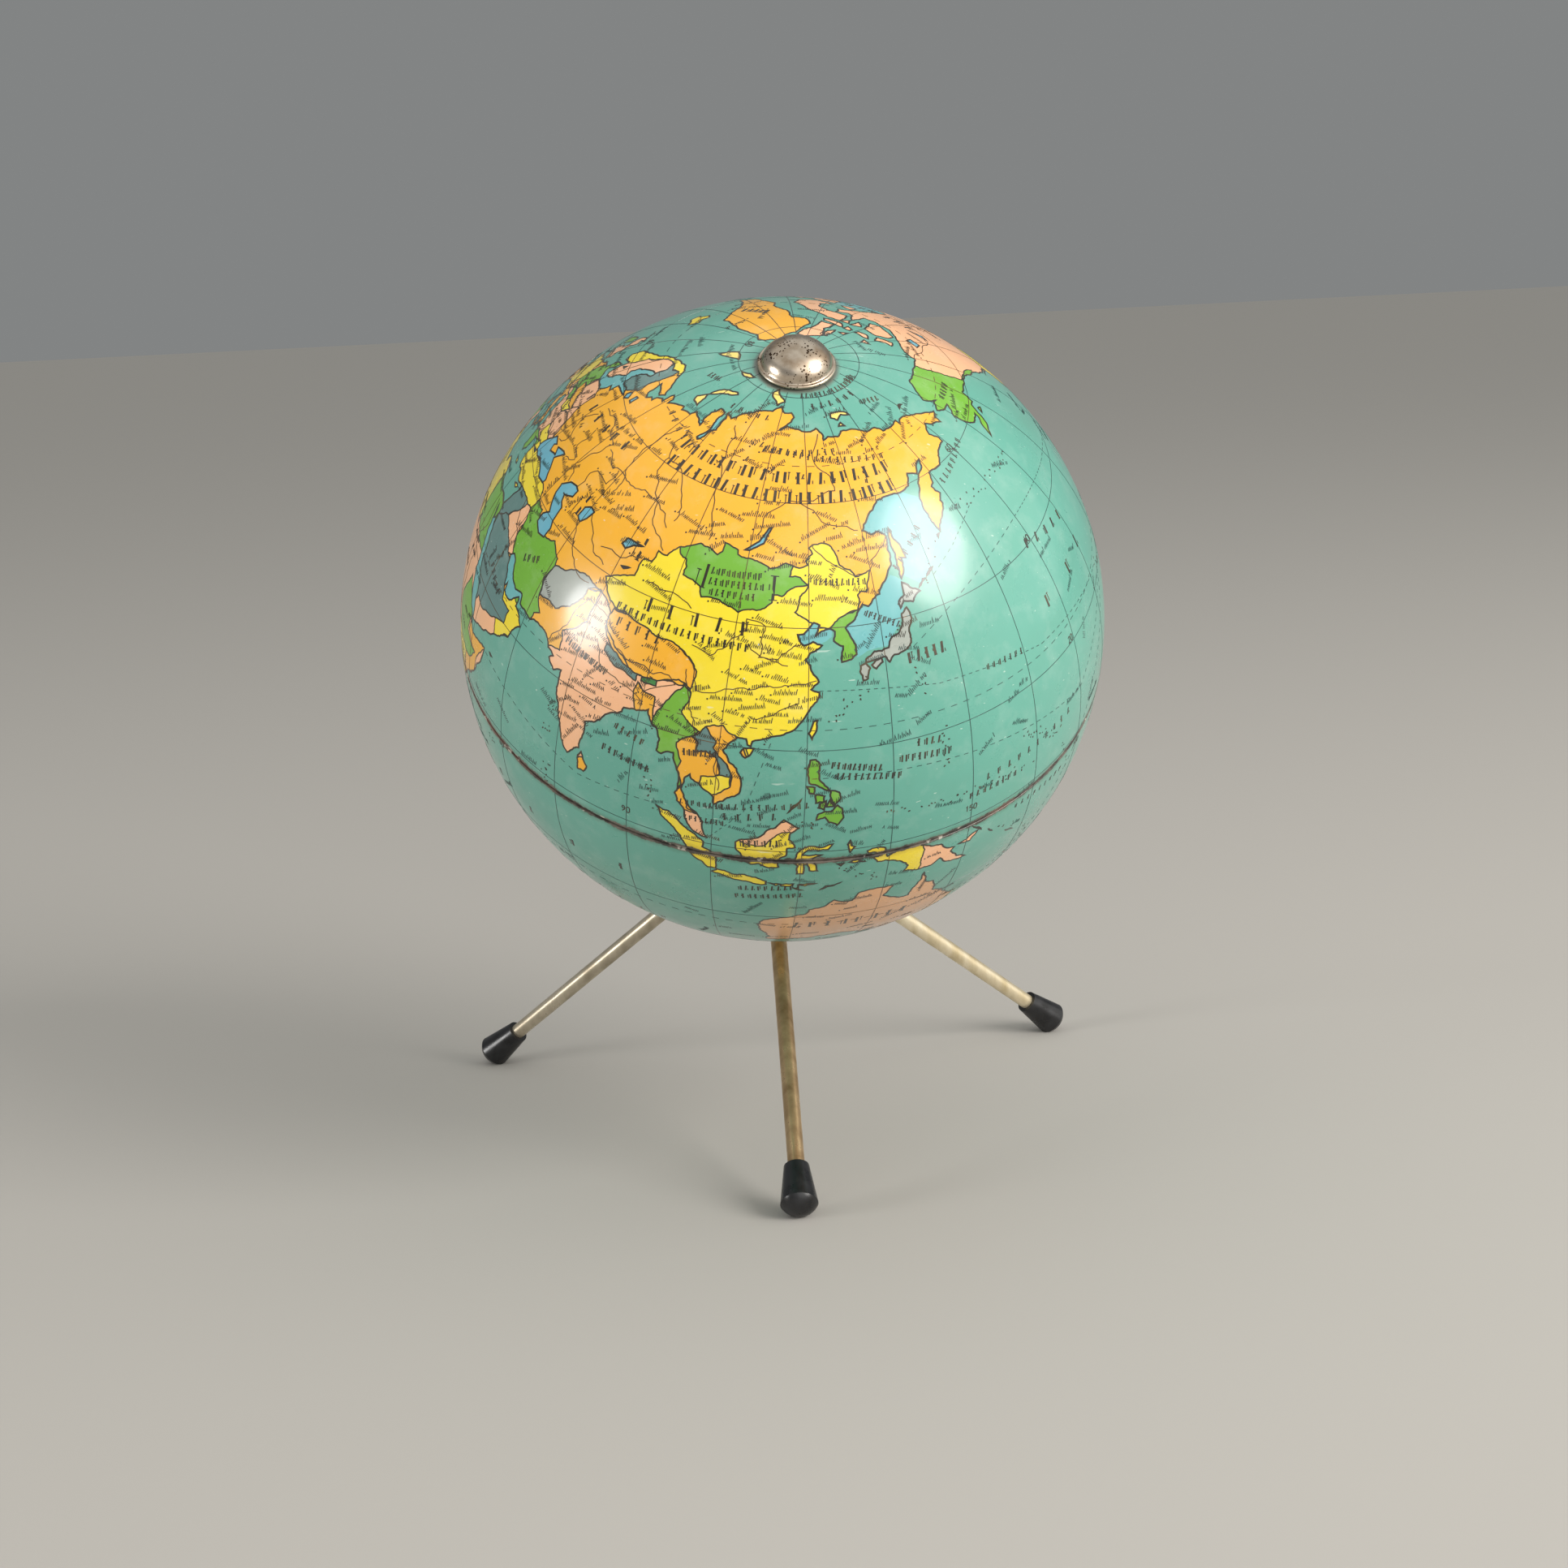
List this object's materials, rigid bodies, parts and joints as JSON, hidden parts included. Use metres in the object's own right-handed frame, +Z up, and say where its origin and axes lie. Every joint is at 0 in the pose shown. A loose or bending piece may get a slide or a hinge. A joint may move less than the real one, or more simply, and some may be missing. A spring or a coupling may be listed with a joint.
{
  "type": "desktop globe on stand",
  "caption": "Small printed tinplate globe that turns on a leaning axle, held by a hub with splayed rod legs and rubber feet.",
  "frame": {"origin": "on the table, under the middle of the object's footprint", "axes": "+Z up; the front leg and the lean of the polar axis point to -Y; +X to the right seen from the front"},
  "size_m": [0.1624, 0.1718, 0.2069],
  "materials": {
    "litho_tinplate": "lithographed map under gloss varnish, lightly scuffed",
    "cap_plating": "nickel plate, pitted with small rust specks",
    "leg_brass": "thin brass plating, tarnished in streaks",
    "hub_metal": "turned steel, dull",
    "plated_steel": "zinc plated, dull",
    "fibre": "pressed red-brown fibre",
    "foot_rubber": "black rubber, slightly shiny from wear"
  },
  "bodies": {
    "stand": {"axle_rod": "plated_steel", "top_washer": "fibre", "spring_washer": "plated_steel", "top_cap": "cap_plating", "thrust_washer": "fibre", "hub": "hub_metal", "lock_washer": "plated_steel", "hub_nut": "plated_steel", "leg_front": "leg_brass", "leg_left": "leg_brass", "leg_right": "leg_brass", "leg_nuts": "plated_steel", "foot_front": "foot_rubber", "foot_left": "foot_rubber", "foot_right": "foot_rubber"},
    "globe": {"north_shell": "litho_tinplate", "south_shell": "litho_tinplate", "north_bush": "plated_steel", "south_bush": "plated_steel", "north_backing_washer": "plated_steel", "south_backing_washer": "plated_steel"}
  },
  "joints": [
    {"name": "globe_spin", "type": "hinge", "parent": "stand", "child": "globe", "pos_m": [0.00419, -0.01086, 0.13187], "axis": [0.0509, -0.5813, 0.8121], "continuous": true}
  ]
}
